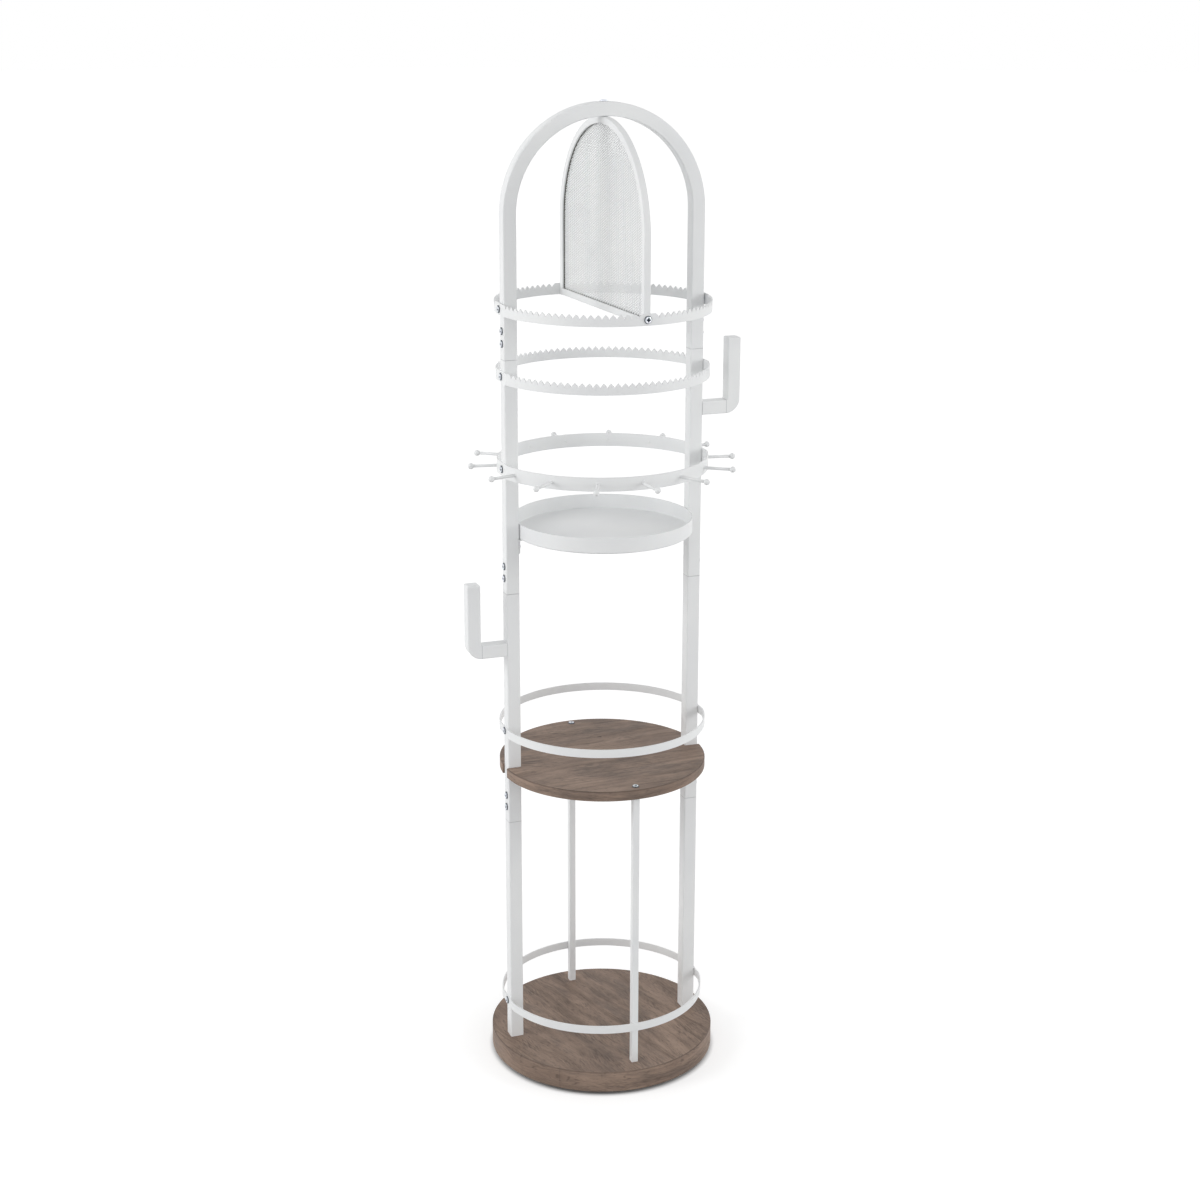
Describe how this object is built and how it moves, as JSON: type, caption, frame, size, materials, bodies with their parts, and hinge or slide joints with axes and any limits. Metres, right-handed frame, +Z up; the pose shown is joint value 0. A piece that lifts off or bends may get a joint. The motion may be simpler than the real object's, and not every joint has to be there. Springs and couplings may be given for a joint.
{
  "type": "rotating jewelry rack",
  "caption": "Floor-standing jewelry tower: square-tube posts and arch on a round base that turns, with serrated rings, peg ring, tray, shelf, hooks and mesh panel.",
  "frame": {"origin": "on the floor under the middle of the round base", "axes": "+Z up; +X from the left post to the right post; +Y to the back of the rack as pictured"},
  "size_m": [0.42, 0.3924, 1.4418],
  "materials": {
    "white_powder_coat": "satin",
    "wood_laminate": "matte",
    "wood_edge_band": "matte",
    "zinc_steel": "satin",
    "screw_steel": "polished",
    "foot_rubber": "matte",
    "cage_nylon": "matte"
  },
  "bodies": {
    "ground_stand": {"rubber_feet": "foot_rubber", "ground_plate": "zinc_steel", "turntable_lower_race": "zinc_steel", "lower_race_rivets": "zinc_steel"},
    "ball_cage_set": {"ball_cage": "cage_nylon", "bearing_balls": "zinc_steel"},
    "rack": {"turntable_upper_race": "zinc_steel", "upper_race_screws": "zinc_steel", "base_disc": "wood_laminate", "base_edge_band": "wood_edge_band", "base_bolts": "zinc_steel", "post_plugs": "zinc_steel", "post_left_lower": "white_powder_coat", "post_left_middle": "white_powder_coat", "post_left_upper": "white_powder_coat", "post_right_lower": "white_powder_coat", "post_right_middle": "white_powder_coat", "post_right_upper": "white_powder_coat", "top_arch": "white_powder_coat", "joint_sleeve_left_lower": "zinc_steel", "joint_sleeve_left_middle": "zinc_steel", "joint_sleeve_left_upper": "zinc_steel", "joint_sleeve_right_lower": "zinc_steel", "joint_sleeve_right_middle": "zinc_steel", "joint_sleeve_right_upper": "zinc_steel", "joint_screws_left": "screw_steel", "joint_screws_right": "screw_steel", "stay_bar_front": "white_powder_coat", "stay_bar_back": "white_powder_coat", "stay_plugs": "zinc_steel", "shelf_disc": "wood_laminate", "shelf_edge_band": "wood_edge_band", "shelf_screws": "screw_steel", "base_guard_ring": "white_powder_coat", "shelf_guard_ring": "white_powder_coat", "peg_ring": "white_powder_coat", "jewelry_pegs": "white_powder_coat", "serrated_ring_lower": "white_powder_coat", "serrated_ring_upper": "white_powder_coat", "ring_spacers": "screw_steel", "ring_screws_left": "screw_steel", "ring_screws_right": "screw_steel", "tray": "white_powder_coat", "tray_bracket_left": "white_powder_coat", "tray_bracket_right": "white_powder_coat", "tray_screws": "screw_steel", "hook_left": "white_powder_coat", "hook_right": "white_powder_coat", "hook_cap_left": "white_powder_coat", "hook_cap_right": "white_powder_coat", "panel_frame": "white_powder_coat", "panel_bottom_bar": "white_powder_coat", "panel_mesh": "white_powder_coat", "panel_screws": "screw_steel", "panel_top_screw": "screw_steel"}
  },
  "joints": [
    {"name": "rack_turn", "type": "hinge", "parent": "ground_stand", "child": "rack", "pos_m": [0, 0, 0.008], "axis": [0, 0, 1], "continuous": true},
    {"name": "cage_turn", "type": "hinge", "parent": "ground_stand", "child": "ball_cage_set", "pos_m": [0, 0, 0.008], "axis": [0, 0, 1], "continuous": true}
  ],
  "couplings": [
    {"joint": "cage_turn", "follows": "rack_turn", "ratio": 0.5}
  ]
}
